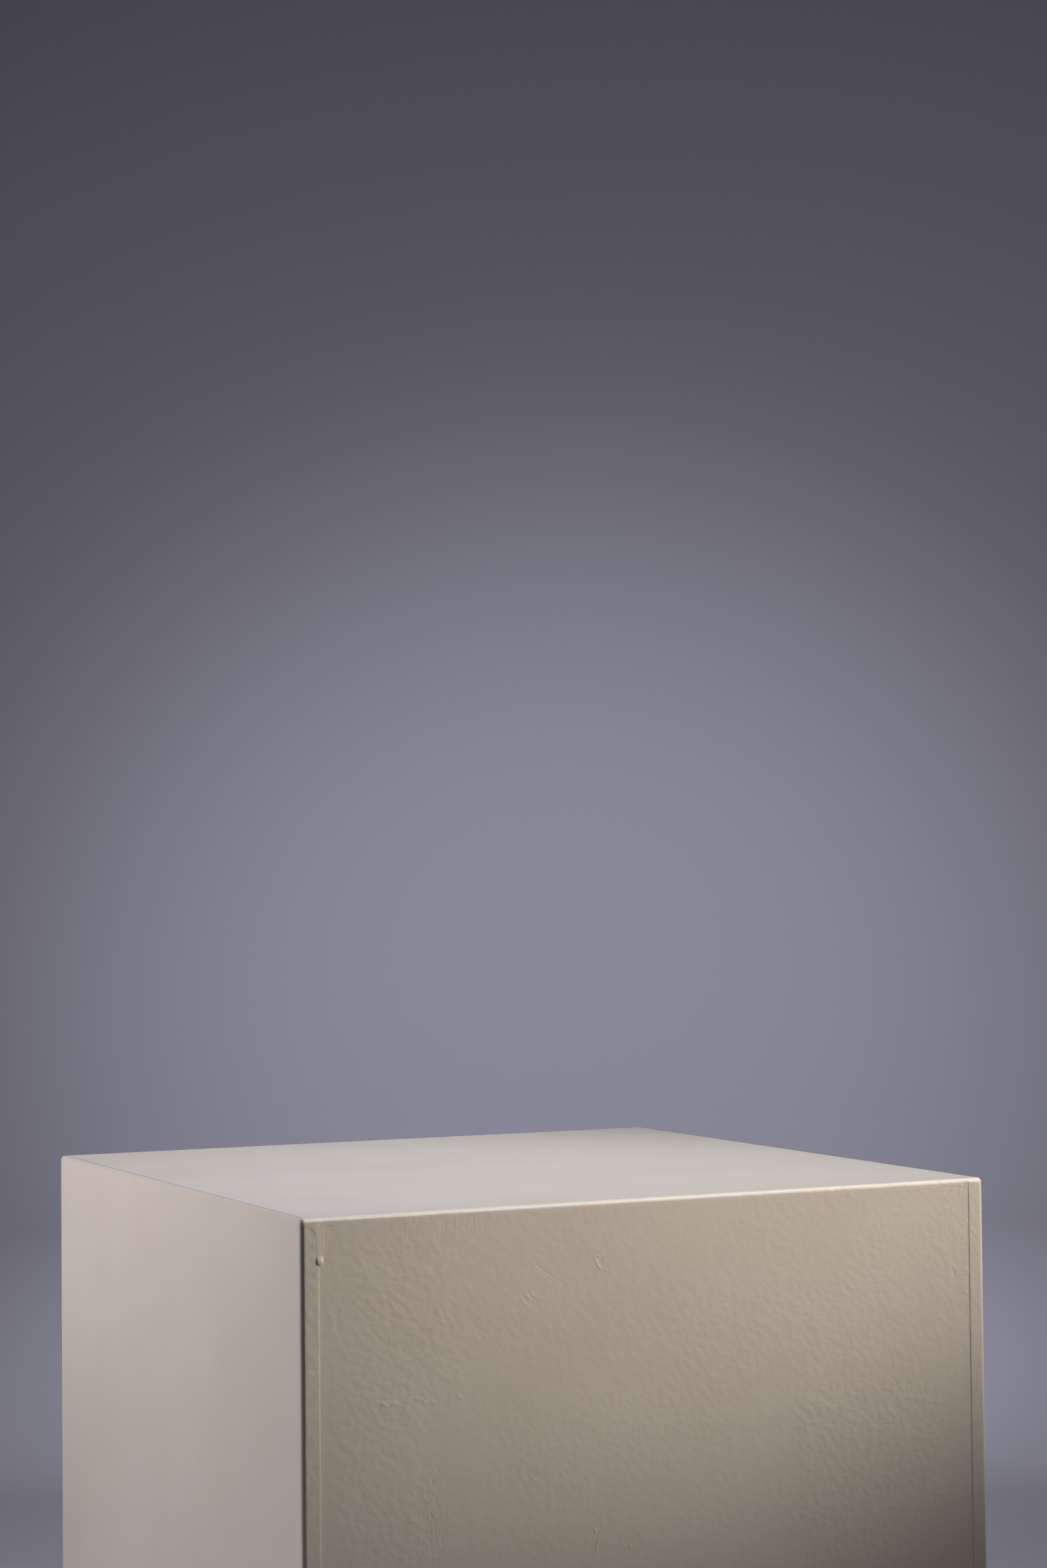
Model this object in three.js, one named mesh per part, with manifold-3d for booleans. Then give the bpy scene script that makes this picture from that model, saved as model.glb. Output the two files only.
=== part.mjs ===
// A square gallery plinth: painted board panels over a softwood frame, standing on four
// levelling feet. Millimetres, +Z up, origin on the floor under the middle of the box,
// +X along the front to the right, -Y towards the viewer of the front.

import * as THREE from 'three';
import { RoundedBoxGeometry } from 'three/addons/geometries/RoundedBoxGeometry.js';
import { mergeVertices } from 'three/addons/utils/BufferGeometryUtils.js';
import Module from 'manifold-3d';

// ---------------------------------------------------------------- driving dimensions

// Outer box
const WIDTH = 500;
const DEPTH = 500;
const HEIGHT = 1000;
const BOARD = 12;            // panel thickness
const EDGE_RADIUS = 2.5;     // hand-rounded outer edges
const EDGE_STEPS = 3;        // facets on a rounded edge
const FRONT_RECESS = 0.3;    // front and back panels sit this far behind the side panels' ends
const JOINT = 0.3;           // glue line between neighbouring pieces
const FLOOR_GAP = 8;         // shadow gap under the panels

// Softwood frame
const BATTEN = 34;           // planed square section
const BATTEN_ARRIS = 1.5;    // eased corners of the section
const FRAME_LIFT = 2;        // frame starts this far above the panels' bottom edges
const BASE_RAIL_HEIGHT = 60;
const MID_RAIL_CENTRE = HEIGHT / 2;

// Foot blocks, one in each bottom corner
const BLOCK_SIDE = 60;
const BLOCK_HEIGHT = 34;
const BLOCK_ARRIS = 1;
const SCREW_OFFSET = 15;     // from the block's middle, clear of the stem's hole

// Countersunk block screws
const SCREW_LENGTH = 60;
const SCREW_RADIUS = 2.5;
const SCREW_HEAD_RADIUS = 4.8;
const SCREW_HEAD_HEIGHT = 2.6;
const SCREW_RIM = 0.4;       // straight rim of the head
const SCREW_TIP = 7;         // length of the point
const SCREW_TIP_RADIUS = 0.5;

// Levelling feet, M8 x 1.25
const STEM_RADIUS = 4;
const STEM_TOP = 78;
const STEM_CHAMFER = 1;
const COLLAR_ACROSS_FLATS = 13;
const COLLAR_BOTTOM = 14.1;
const COLLAR_HEIGHT = 6;
const FLANGE_RADIUS = 6.3;   // foot of the stem, held inside the pad
const FLANGE_BOTTOM = 5.8;
const FLANGE_HEIGHT = 3.2;
const NUT_ACROSS_FLATS = 13;
const NUT_HEIGHT = 6.5;
const NUT_CHAMFER = 0.8;
const RUNNING_GAP = 0.3;     // round a stem or a screw

// Tee nuts
const TEE_FLANGE_RADIUS = 11;
const TEE_FLANGE = 1.6;
const TEE_BARREL_RADIUS = 5;
const TEE_BARREL_HEIGHT = 11;
const PRONG_COUNT = 4;
const PRONG_CIRCLE = 8.6;    // radius of the ring of prongs
const PRONG_THICKNESS = 1.2;
const PRONG_WIDTH = 4;
const PRONG_HEIGHT = 6;
const PRONG_ROOT = 1;        // part of a prong that is inside the flange

// Foot pads and soles
const PAD_RADIUS = 20;
const PAD_BOTTOM = 1;
const PAD_RIM_TOP = 4.5;
const PAD_SHOULDER = 6.5;
const PAD_SLOPE = 2;         // rise of the cone from the shoulder to the boss
const PAD_BOSS_RADIUS = 10;
const PAD_TOP = 13.8;
const PAD_EDGE = 0.7;        // eased edges and the fillets' width
const SOLE_RADIUS = 17;
const SOLE_THICKNESS = 2.5;
const SOLE_EDGE = 0.5;

const ROUND_SEGMENTS = 24;
const SMALL_SEGMENTS = 12;

// ---------------------------------------------------------------- derived places

const PANEL_HEIGHT = HEIGHT - FLOOR_GAP;
const PANEL_DEPTH = DEPTH - 2 * FRONT_RECESS;          // over the front and back panels
const INNER_X = WIDTH / 2 - BOARD;                     // side panels' inner faces
const INNER_Y = PANEL_DEPTH / 2 - BOARD;               // front and back panels' inner faces
const FRAME_X = INNER_X - JOINT;                       // frame's outer faces
const FRAME_Y = INNER_Y - JOINT;
const FRAME_BOTTOM = FLOOR_GAP + FRAME_LIFT;
const FRAME_TOP = HEIGHT - BOARD - JOINT;
const RAIL_X = FRAME_X - BATTEN - JOINT;               // half length of front and back rails
const RAIL_Y = FRAME_Y - BATTEN - JOINT;               // half length of side rails
const BLOCK_X = RAIL_X - BLOCK_SIDE / 2;               // middle of a foot block
const BLOCK_Y = RAIL_Y - BLOCK_SIDE / 2;
const BLOCK_TOP = FRAME_BOTTOM + BASE_RAIL_HEIGHT;
const BLOCK_BOTTOM = BLOCK_TOP - BLOCK_HEIGHT;
const SCREW_Z = BLOCK_BOTTOM + BLOCK_HEIGHT / 2;
const TEE_TOP = BLOCK_BOTTOM - JOINT;                  // flange's upper face
const NUT_TOP = TEE_TOP - TEE_FLANGE - JOINT;
const QUARTER_TURN = Math.PI / 2;

const CORNERS = [
  { name: 'front_left', sx: -1, sy: -1 },
  { name: 'front_right', sx: 1, sy: -1 },
  { name: 'back_left', sx: -1, sy: 1 },
  { name: 'back_right', sx: 1, sy: 1 },
];

// ---------------------------------------------------------------- materials

const paint = new THREE.MeshStandardMaterial({ color: 0xcfc9bf, roughness: 0.3, metalness: 0 });
const softwood = new THREE.MeshStandardMaterial({ color: 0xd9b989, roughness: 0.7, metalness: 0 });
const plywood = new THREE.MeshStandardMaterial({ color: 0xcaa878, roughness: 0.7, metalness: 0 });
const zinc = new THREE.MeshStandardMaterial({ color: 0xb9bcc0, roughness: 0.35, metalness: 1 });
const nylon = new THREE.MeshStandardMaterial({ color: 0x1f1f21, roughness: 0.5, metalness: 0 });
const rubber = new THREE.MeshStandardMaterial({ color: 0x2c2b2a, roughness: 0.9, metalness: 0 });

// ---------------------------------------------------------------- joining and cutting

const wasm = await Module();
wasm.setup();

// A closed geometry as a solid that can be joined and cut.
function toSolid(geometry) {
  const bare = geometry.clone();
  bare.deleteAttribute('normal');
  bare.deleteAttribute('uv');
  const merged = mergeVertices(bare);
  return new wasm.Manifold(new wasm.Mesh({
    numProp: 3,
    vertProperties: new Float32Array(merged.attributes.position.array),
    triVerts: new Uint32Array(merged.index.array),
  }));
}

// A joined or cut solid as a geometry again.
function toGeometry(solid) {
  const mesh = solid.getMesh();
  const geometry = new THREE.BufferGeometry();
  geometry.setAttribute('position', new THREE.BufferAttribute(mesh.vertProperties, 3));
  geometry.setIndex(new THREE.BufferAttribute(mesh.triVerts, 1));
  geometry.computeVertexNormals();
  return geometry;
}

// ---------------------------------------------------------------- shape helpers

function boxBetween(low, high) {
  const size = high.map((value, axis) => value - low[axis]);
  const box = new THREE.BoxGeometry(...size);
  return box.translate(...low.map((value, axis) => value + size[axis] / 2));
}

// A rectangle centred on the origin with its corners rounded by arcs.
function roundedRectangle(width, height, radius) {
  const x = width / 2;
  const y = height / 2;
  const shape = new THREE.Shape();
  shape.moveTo(-x + radius, -y);
  shape.lineTo(x - radius, -y);
  shape.absarc(x - radius, -y + radius, radius, -QUARTER_TURN, 0);
  shape.lineTo(x, y - radius);
  shape.absarc(x - radius, y - radius, radius, 0, QUARTER_TURN);
  shape.lineTo(-x + radius, y);
  shape.absarc(-x + radius, y - radius, radius, QUARTER_TURN, 2 * QUARTER_TURN);
  shape.lineTo(-x, -y + radius);
  shape.absarc(-x + radius, -y + radius, radius, 2 * QUARTER_TURN, 3 * QUARTER_TURN);
  return shape;
}

// An upright prism of a shape, from z = 0.
function prism(shape, height, curveSegments = 2) {
  return new THREE.ExtrudeGeometry(shape, { depth: height, bevelEnabled: false, curveSegments });
}

function hexagon(acrossFlats) {
  const radius = acrossFlats / 2 / Math.cos(Math.PI / 6);
  const shape = new THREE.Shape();
  for (let i = 0; i < 6; i += 1) {
    const angle = (i * Math.PI) / 3;
    shape[i === 0 ? 'moveTo' : 'lineTo'](radius * Math.cos(angle), radius * Math.sin(angle));
  }
  return shape;
}

// A turned solid about Z. Each profile point is [radius, z].
function turned(profile, segments = ROUND_SEGMENTS) {
  const points = profile.map(([radius, z]) => new THREE.Vector2(radius, z));
  return new THREE.LatheGeometry(points, segments).rotateX(QUARTER_TURN);
}

// ---------------------------------------------------------------- the plinth

const plinth = new THREE.Group();

function addPiece(name, geometry, material, position = [0, 0, 0]) {
  const mesh = new THREE.Mesh(geometry, material);
  mesh.name = name;
  mesh.position.set(...position);
  plinth.add(mesh);
  return mesh;
}

// The outer form with its upright and top edges rounded. It reaches below the panels, so that
// their bottom edges are sawn square.
function outerForm(width, depth) {
  const height = HEIGHT + BOARD;
  const form = new RoundedBoxGeometry(width, depth, height, EDGE_STEPS, EDGE_RADIUS);
  return toSolid(form.translate(0, 0, HEIGHT - height / 2));
}

// One board of the outer form.
function panel(name, form, low, high) {
  addPiece(name, toGeometry(form.intersect(toSolid(boxBetween(low, high)))), paint);
}

function addPanels() {
  const sideForm = outerForm(WIDTH, DEPTH);
  const frontForm = outerForm(WIDTH, PANEL_DEPTH);
  const edgeX = WIDTH / 2 + BOARD;       // past the form, which trims the boards to size
  const edgeY = DEPTH / 2 + BOARD;
  const edgeZ = HEIGHT + BOARD;
  const frontX = INNER_X - JOINT;
  panel('side_panel_left', sideForm, [-edgeX, -edgeY, FLOOR_GAP], [-INNER_X, edgeY, edgeZ]);
  panel('side_panel_right', sideForm, [INNER_X, -edgeY, FLOOR_GAP], [edgeX, edgeY, edgeZ]);
  panel('front_panel', frontForm, [-frontX, -edgeY, FLOOR_GAP], [frontX, -INNER_Y, edgeZ]);
  panel('back_panel', frontForm, [-frontX, INNER_Y, FLOOR_GAP], [frontX, edgeY, edgeZ]);
  const topY = INNER_Y - JOINT;
  panel('top_panel', frontForm, [-frontX, -topY, HEIGHT - BOARD], [frontX, topY, edgeZ]);
}

function postOrRail(length, height = BATTEN) {
  return prism(roundedRectangle(BATTEN, height, BATTEN_ARRIS), length).translate(0, 0, -length / 2);
}

function addPosts() {
  const length = FRAME_TOP - FRAME_BOTTOM;
  const z = FRAME_BOTTOM + length / 2;
  for (const { name, sx, sy } of CORNERS) {
    const place = [sx * (FRAME_X - BATTEN / 2), sy * (FRAME_Y - BATTEN / 2), z];
    addPiece(`corner_post_${name}`, postOrRail(length), softwood, place);
  }
}

// A rail along X, and one along Y, around their own middles.
function railAlongX(height = BATTEN) {
  return postOrRail(2 * RAIL_X, height).rotateZ(QUARTER_TURN).rotateY(QUARTER_TURN);
}

function railAlongY(height = BATTEN) {
  return postOrRail(2 * RAIL_Y, height).rotateX(QUARTER_TURN);
}

// The turned shape of a block screw: head at z = 0, point towards -z. grow makes its socket.
function screwShape(grow = 0) {
  const shank = SCREW_RADIUS + grow;
  const head = SCREW_HEAD_RADIUS + grow;
  const bottom = -SCREW_LENGTH - grow;
  return turned([
    [0, bottom],
    [SCREW_TIP_RADIUS + grow, bottom],
    [shank, bottom + SCREW_TIP],
    [shank, -SCREW_HEAD_HEIGHT - grow],
    [head, -SCREW_RIM],
    [head, grow],
    [0, grow],
  ], SMALL_SEGMENTS);
}

// The block screws lie level, head outwards: one along X through the side rail and one along Y
// through the front or back rail. Each is a turn and a place for the shape above.
function screwPlaces({ name, sx, sy }) {
  return [
    {
      name: `block_screw_${name}_x`,
      turn: (geometry) => geometry.rotateY(sx * QUARTER_TURN),
      place: [sx * (FRAME_X - JOINT), sy * (BLOCK_Y - SCREW_OFFSET), SCREW_Z],
    },
    {
      name: `block_screw_${name}_y`,
      turn: (geometry) => geometry.rotateX(-sy * QUARTER_TURN),
      place: [sx * (BLOCK_X - SCREW_OFFSET), sy * (FRAME_Y - JOINT), SCREW_Z],
    },
  ];
}

const screwSockets = CORNERS.flatMap(screwPlaces).map(({ turn, place }) => (
  toSolid(turn(screwShape(RUNNING_GAP)).translate(...place))
));

function withSockets(geometry) {
  return toGeometry(screwSockets.reduce((solid, socket) => solid.subtract(socket), toSolid(geometry)));
}

function addRails() {
  const middleX = FRAME_X - BATTEN / 2;      // middle of a side rail's section
  const middleY = FRAME_Y - BATTEN / 2;      // middle of a front or back rail's section
  const levels = [
    { level: 'mid', z: MID_RAIL_CENTRE },
    { level: 'top', z: FRAME_TOP - BATTEN / 2 },
  ];
  for (const { level, z } of levels) {
    addPiece(`${level}_rail_front`, railAlongX(), softwood, [0, -middleY, z]);
    addPiece(`${level}_rail_back`, railAlongX(), softwood, [0, middleY, z]);
    addPiece(`${level}_rail_left`, railAlongY(), softwood, [-middleX, 0, z]);
    addPiece(`${level}_rail_right`, railAlongY(), softwood, [middleX, 0, z]);
  }
  const baseZ = FRAME_BOTTOM + BASE_RAIL_HEIGHT / 2;
  const acrossBase = () => railAlongX(BASE_RAIL_HEIGHT);
  const alongBase = () => railAlongY(BASE_RAIL_HEIGHT);
  addPiece('base_rail_front', withSockets(acrossBase().translate(0, -middleY, baseZ)), softwood);
  addPiece('base_rail_back', withSockets(acrossBase().translate(0, middleY, baseZ)), softwood);
  addPiece('base_rail_left', withSockets(alongBase().translate(-middleX, 0, baseZ)), softwood);
  addPiece('base_rail_right', withSockets(alongBase().translate(middleX, 0, baseZ)), softwood);
}

// A brace from the front rail to the back rail, under the middle of the top panel.
function addTopBrace() {
  addPiece('top_brace', railAlongY(), softwood, [0, 0, FRAME_TOP - BATTEN / 2]);
}

// The ring of prongs of a tee nut, standing on z = 0. grow makes their pockets in the wood.
function prongs(grow = 0) {
  const solids = [];
  for (let i = 0; i < PRONG_COUNT; i += 1) {
    const thickness = PRONG_THICKNESS + 2 * grow;
    const width = PRONG_WIDTH + 2 * grow;
    const height = PRONG_ROOT + PRONG_HEIGHT + grow;
    const prong = new THREE.BoxGeometry(thickness, width, height);
    prong.translate(PRONG_CIRCLE, 0, height / 2 - PRONG_ROOT);
    solids.push(toSolid(prong.rotateZ((i * 2 * Math.PI) / PRONG_COUNT)));
  }
  return solids;
}

function addFootBlock({ name, sx, sy }) {
  const body = prism(roundedRectangle(BLOCK_SIDE, BLOCK_SIDE, BLOCK_ARRIS), BLOCK_HEIGHT);
  const holeRadius = TEE_BARREL_RADIUS + RUNNING_GAP;
  const holeTop = BLOCK_HEIGHT + RUNNING_GAP;
  const hole = turned([[0, -RUNNING_GAP], [holeRadius, -RUNNING_GAP], [holeRadius, holeTop], [0, holeTop]]);
  let block = toSolid(body).subtract(toSolid(hole));
  for (const pocket of prongs(RUNNING_GAP)) {
    block = block.subtract(pocket);
  }
  const placed = block.translate([sx * BLOCK_X, sy * BLOCK_Y, BLOCK_BOTTOM]);
  const drilled = screwSockets.reduce((solid, socket) => solid.subtract(socket), placed);
  addPiece(`foot_block_${name}`, toGeometry(drilled), plywood);
}

function addTeeNut({ name, sx, sy }) {
  const bore = STEM_RADIUS + RUNNING_GAP;
  const body = turned([
    [bore, -TEE_FLANGE],
    [TEE_FLANGE_RADIUS, -TEE_FLANGE],
    [TEE_FLANGE_RADIUS, 0],
    [TEE_BARREL_RADIUS, 0],
    [TEE_BARREL_RADIUS, TEE_BARREL_HEIGHT],
    [bore, TEE_BARREL_HEIGHT],
    [bore, -TEE_FLANGE],
  ]);
  const nut = prongs().reduce((solid, prong) => solid.add(prong), toSolid(body));
  addPiece(`tee_nut_${name}`, toGeometry(nut), zinc, [sx * BLOCK_X, sy * BLOCK_Y, TEE_TOP]);
}

// A hexagon nut with its corners turned off at both ends.
function lockNutGeometry() {
  const corner = NUT_ACROSS_FLATS / 2 / Math.cos(Math.PI / 6);
  const bore = STEM_RADIUS + RUNNING_GAP;
  const blank = turned([
    [bore, 0],
    [corner - NUT_CHAMFER, 0],
    [corner, NUT_CHAMFER / 2],
    [corner, NUT_HEIGHT - NUT_CHAMFER / 2],
    [corner - NUT_CHAMFER, NUT_HEIGHT],
    [bore, NUT_HEIGHT],
    [bore, 0],
  ]);
  return toGeometry(toSolid(prism(hexagon(NUT_ACROSS_FLATS), NUT_HEIGHT)).intersect(toSolid(blank)));
}

// The stem: a flange that turns inside the pad, a hexagon collar for a spanner, and the thread.
function stemGeometry() {
  const rod = turned([
    [0, FLANGE_BOTTOM],
    [FLANGE_RADIUS, FLANGE_BOTTOM],
    [FLANGE_RADIUS, FLANGE_BOTTOM + FLANGE_HEIGHT],
    [STEM_RADIUS, FLANGE_BOTTOM + FLANGE_HEIGHT],
    [STEM_RADIUS, STEM_TOP - STEM_CHAMFER],
    [STEM_RADIUS - STEM_CHAMFER, STEM_TOP],
    [0, STEM_TOP],
  ]);
  const collar = prism(hexagon(COLLAR_ACROSS_FLATS), COLLAR_HEIGHT).translate(0, 0, COLLAR_BOTTOM);
  return toGeometry(toSolid(rod).add(toSolid(collar)));
}

// The pad: a round foot with a recess for the sole and a socket for the stem's flange.
function padGeometry() {
  const recess = SOLE_RADIUS + JOINT;
  const recessTop = SOLE_THICKNESS + JOINT;
  const mouth = STEM_RADIUS + RUNNING_GAP;
  const socket = FLANGE_RADIUS + RUNNING_GAP;
  const socketBottom = FLANGE_BOTTOM - RUNNING_GAP;
  const socketTop = FLANGE_BOTTOM + FLANGE_HEIGHT + RUNNING_GAP;
  return turned([
    [0, recessTop],
    [recess, recessTop],
    [recess, PAD_BOTTOM],
    [PAD_RADIUS - PAD_EDGE, PAD_BOTTOM],
    [PAD_RADIUS, PAD_BOTTOM + PAD_EDGE],
    [PAD_RADIUS, PAD_RIM_TOP],
    [PAD_RADIUS - 2 * PAD_EDGE, PAD_SHOULDER],
    [PAD_BOSS_RADIUS + PAD_EDGE, PAD_SHOULDER + PAD_SLOPE],
    [PAD_BOSS_RADIUS, PAD_SHOULDER + PAD_SLOPE + PAD_EDGE],
    [PAD_BOSS_RADIUS, PAD_TOP - PAD_EDGE],
    [PAD_BOSS_RADIUS - PAD_EDGE, PAD_TOP],
    [mouth, PAD_TOP],
    [mouth, socketTop],
    [socket, socketTop],
    [socket, socketBottom],
    [0, socketBottom],
  ]);
}

function soleGeometry() {
  return turned([
    [0, 0],
    [SOLE_RADIUS - SOLE_EDGE, 0],
    [SOLE_RADIUS, SOLE_EDGE],
    [SOLE_RADIUS, SOLE_THICKNESS],
    [0, SOLE_THICKNESS],
  ]);
}

function addFoot(corner) {
  const { name, sx, sy } = corner;
  const x = sx * BLOCK_X;
  const y = sy * BLOCK_Y;
  addFootBlock(corner);
  addTeeNut(corner);
  addPiece(`lock_nut_${name}`, lockNutGeometry(), zinc, [x, y, NUT_TOP - NUT_HEIGHT]);
  addPiece(`foot_stem_${name}`, stemGeometry(), zinc, [x, y, 0]);
  addPiece(`foot_pad_${name}`, padGeometry(), nylon, [x, y, 0]);
  addPiece(`foot_sole_${name}`, soleGeometry(), rubber, [x, y, 0]);
  for (const { name: screwName, turn, place } of screwPlaces(corner)) {
    addPiece(screwName, turn(screwShape()), zinc, place);
  }
}

addPanels();
addPosts();
addRails();
addTopBrace();
CORNERS.forEach(addFoot);

export default plinth;
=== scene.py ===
import math

import bmesh
import bpy
import numpy as np
from mathutils import Matrix, Vector


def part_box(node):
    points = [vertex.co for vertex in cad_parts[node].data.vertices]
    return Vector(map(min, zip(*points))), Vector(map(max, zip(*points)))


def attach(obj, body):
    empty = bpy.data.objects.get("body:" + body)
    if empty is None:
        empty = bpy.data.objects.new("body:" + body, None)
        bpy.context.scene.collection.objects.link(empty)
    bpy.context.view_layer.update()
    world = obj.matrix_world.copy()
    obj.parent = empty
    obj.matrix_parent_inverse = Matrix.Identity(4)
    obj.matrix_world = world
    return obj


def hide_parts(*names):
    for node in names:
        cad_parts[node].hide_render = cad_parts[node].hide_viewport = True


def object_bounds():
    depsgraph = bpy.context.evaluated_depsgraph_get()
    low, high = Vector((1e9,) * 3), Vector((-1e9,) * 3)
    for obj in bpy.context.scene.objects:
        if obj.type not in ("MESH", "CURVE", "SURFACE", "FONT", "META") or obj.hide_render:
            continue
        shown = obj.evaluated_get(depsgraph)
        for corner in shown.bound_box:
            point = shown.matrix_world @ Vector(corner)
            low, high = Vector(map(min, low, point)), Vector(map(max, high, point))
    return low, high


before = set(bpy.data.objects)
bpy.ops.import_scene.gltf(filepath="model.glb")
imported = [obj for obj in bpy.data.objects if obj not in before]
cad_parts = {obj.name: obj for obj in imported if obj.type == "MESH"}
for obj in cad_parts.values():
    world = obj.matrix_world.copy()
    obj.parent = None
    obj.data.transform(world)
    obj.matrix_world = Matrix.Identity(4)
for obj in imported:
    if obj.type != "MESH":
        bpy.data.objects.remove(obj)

# A display plinth: five painted fibreboard boards round a timber frame, on four levelling feet.
# The boards, the run of paint on them and the feet are built here. The timber keeps its CAD
# solids and gets new materials. Lengths are in metres unless a name or a comment says mm.

CAD_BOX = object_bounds()

MM = 0.001
QUARTER = math.pi / 2
CORNERS = ("front_left", "front_right", "back_left", "back_right")

# ------------------------------ sizes from the frame
HALF_WIDTH, HALF_DEPTH, TOP = CAD_BOX[1]
SIDE_LOW, SIDE_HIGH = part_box("side_panel_right")
FRONT_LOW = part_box("front_panel")[0]
BOARD = SIDE_HIGH.x - SIDE_LOW.x          # thickness
INNER_X = SIDE_LOW.x                      # inner faces of the side boards
SEAM_STEP = FRONT_LOW.y - SIDE_LOW.y      # side boards' ends stand this far proud
BOARD_BOTTOM = SIDE_LOW.z

# ------------------------------ the boards' shape
EDGE_RADIUS = 3.3 * MM      # hand-rounded outer edges
EDGE_STEPS = 6
SEAM_SPREAD = 0.8 * MM      # paint draws each half of the step at a seam out to this
SEAM_STEPS = 4
FILL_HEIGHT = 14 * MM       # thick paint hides the seams this far down from the top edge
FILL_REACH = 2.5 * MM       # how far that paint spreads over the front and back boards
FILL_FADE = 0.7             # part of that height over which the filling grows
FILLED_GAP = 0.02 * MM      # what is left of a filled joint
LID_EASE = 4 * FILLED_GAP   # barely eased edges of the lid
CAP_RING = 0.4 * MM         # ring that keeps a flat cap's shading flat
END_COLUMNS = 7             # mesh columns on a side board's end
FINE_HEIGHT = 275 * MM      # finer mesh rows this far down the upright boards
COARSE_ROWS = 5 * MM        # mesh rows below that
REFINED = 3                 # times that the mesh is halved near an upright board's marks
LID_CELL = 4 * MM
LID_REFINED = 4
EDGE_FADE = 5.0             # mm in from a face's edges over which the paint's waves grow
WELD = 0.001 * MM           # points closer than this are one
FACING = 0.9                # a face looks along an axis if its normal has this much of it

# ------------------------------ marks in the paint
# Each mark is (points, width, height) in mm: a ridge along its points, or a groove where the
# height is below nought. Points are (right, down) from the upper left corner of the face.
FRONT_MARKS = [
    # a nib like a small loop, with its tail
    ([(202.8, 34.8), (205.2, 35.6)], 0.65, 0.13),
    ([(202.6, 37.4), (203.2, 40.2), (205.8, 43.2)], 0.7, 0.17),
    ([(206.0, 37.6), (206.6, 40.4)], 0.8, -0.08),
    ([(208.6, 43.6), (212.4, 45.6)], 0.8, 0.07),
    # a forked nib
    ([(153.2, 56.8), (154.6, 58.6)], 1.2, 0.2),
    ([(155.6, 53.4), (157.3, 57.0), (160.2, 58.9), (164.1, 59.4)], 0.55, 0.08),
    ([(149.4, 58.4), (151.4, 61.4), (154.0, 63.5)], 0.55, 0.09),
    # a scratch under the paint
    ([(160.4, 38.1), (166.2, 42.0), (171.5, 46.1)], 0.5, -0.075),
    ([(171.5, 46.1), (176.5, 49.4), (182.0, 52.5)], 0.6, -0.025),
    # a row of beads left by the roller's end
    ([(53.6, 116.8), (56.2, 118.2)], 1.1, 0.24),
    ([(59.9, 117.8), (62.4, 117.0)], 1.15, 0.27),
    ([(69.2, 117.0), (71.4, 116.6)], 1.05, 0.22),
    ([(75.6, 115.8), (80.2, 116.6), (82.4, 118.3)], 0.85, 0.15),
    ([(87.0, 118.2), (89.6, 119.6)], 0.95, 0.2),
    ([(99.0, 116.6), (100.6, 117.0)], 0.9, 0.13),
    ([(105.4, 117.2), (107.0, 117.6)], 0.9, 0.15),
    # a crescent of thick paint
    ([(18.2, 59.0), (20.8, 62.6), (21.0, 67.5), (19.2, 71.0)], 1.3, 0.1),
    ([(23.6, 59.8), (24.6, 64.6), (23.4, 69.0)], 0.9, -0.06),
    # specks of grit under the paint
    ([(199.6, 208.4), (200.3, 210.2)], 0.6, 0.24),
    ([(202.5, 215.4), (202.0, 217.0)], 0.55, 0.24),
    ([(201.4, 219.0), (201.0, 221.4)], 0.55, 0.24),
    ([(225.0, 221.2), (225.6, 222.8)], 0.6, 0.24),
    ([(156.8, 171.8), (157.9, 174.6)], 0.5, 0.06),
    ([(52.4, 131.6), (54.4, 130.4)], 0.6, 0.05),
    ([(174.1, 34.9), (174.4, 35.9)], 0.5, 0.05),
    # pinholes
    ([(266.5, 199.5)], 0.55, -0.2),
    ([(295.0, 148.1)], 0.5, -0.16),
    ([(260.0, 33.9)], 0.45, -0.1),
    ([(287.2, 206.9), (289.2, 208.3)], 0.6, -0.07),
    ([(369.8, 170.0), (371.6, 172.4)], 0.45, -0.07),
    # a dent near the right edge
    ([(474.5, 61.4), (475.4, 64.4)], 0.95, -0.22),
    ([(473.3, 64.2), (474.4, 66.2)], 0.6, 0.07),
    # shallow hollows and lumps on the right
    ([(396.8, 103.2), (400.6, 104.6)], 1.6, -0.07),
    ([(392.6, 106.8), (394.4, 108.0)], 1.2, 0.05),
    ([(399.5, 213.5), (402.5, 220.0)], 1.9, -0.08),
    ([(405.5, 207.0), (409.5, 217.5)], 1.6, 0.06),
    ([(372.5, 204.5), (379.5, 212.0)], 1.8, 0.05),
    ([(388.0, 236.5), (396.5, 246.0)], 1.8, 0.05),
    ([(268.0, 26.0), (270.4, 31.0), (268.6, 37.0)], 1.1, 0.03),
    # faint laps of the roller
    ([(204.0, 198.5), (262.0, 203.0), (310.0, 209.0)], 0.8, -0.01),
    ([(416.0, 94.0), (446.0, 97.0), (484.0, 106.0)], 0.8, -0.016),
    ([(452.0, 124.0), (482.0, 127.0)], 0.7, -0.018),
    ([(391.0, 170.0), (424.0, 173.0), (462.0, 175.0)], 0.7, -0.016),
    ([(384.0, 88.0), (408.0, 90.0)], 0.7, -0.012),
    ([(108.0, 130.5), (160.0, 128.0), (204.0, 127.0)], 0.8, -0.009),
]
STREAKS = 46                # short runs under the top edge
STREAK_PLACE = (62.0, 133.0)
STIPPLE_SPOTS = 190         # small spots in an upright strip
STIPPLE_PLACE = (78.0, 92.5, 158.0, 236.0)
PINHEADS = 64               # tiny specks by the right seam
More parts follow.
